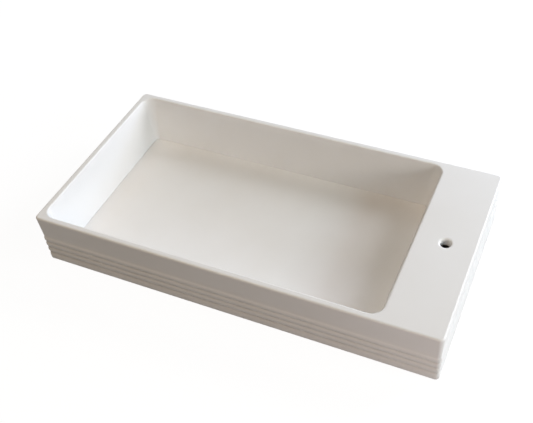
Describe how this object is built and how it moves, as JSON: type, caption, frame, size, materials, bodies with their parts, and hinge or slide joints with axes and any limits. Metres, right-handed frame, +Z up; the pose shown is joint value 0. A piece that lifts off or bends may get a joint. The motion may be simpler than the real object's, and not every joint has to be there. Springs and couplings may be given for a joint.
{
  "type": "cheese mold",
  "caption": "White rectangular cheese mold: a frame with a tapered cavity, a rim and a pierced ledge, a loose drain floor, and a grooved tray that catches the whey.",
  "frame": {"origin": "middle of the underside, on the surface that the tray stands on", "axes": "+X along the length towards the ledge, +Y across the width, +Z up"},
  "size_m": [0.3518, 0.1824, 0.051],
  "materials": {
    "frame_plastic": "satin white",
    "floor_plastic": "satin white",
    "tray_plastic": "satin white",
    "seal_silicone": "soft pale silicone"
  },
  "bodies": {
    "tray": {"whey_tray": "tray_plastic", "tray_seal": "seal_silicone"},
    "frame": {"mould_frame": "frame_plastic"},
    "floor": {"drain_floor": "floor_plastic"}
  },
  "joints": [
    {"name": "frame_lift", "type": "slide", "parent": "tray", "child": "frame", "axis": [0, 0, 1], "range_m": [0, 0.06]},
    {"name": "floor_lift", "type": "slide", "parent": "frame", "child": "floor", "axis": [0, 0, 1], "range_m": [0, 0.06]}
  ]
}
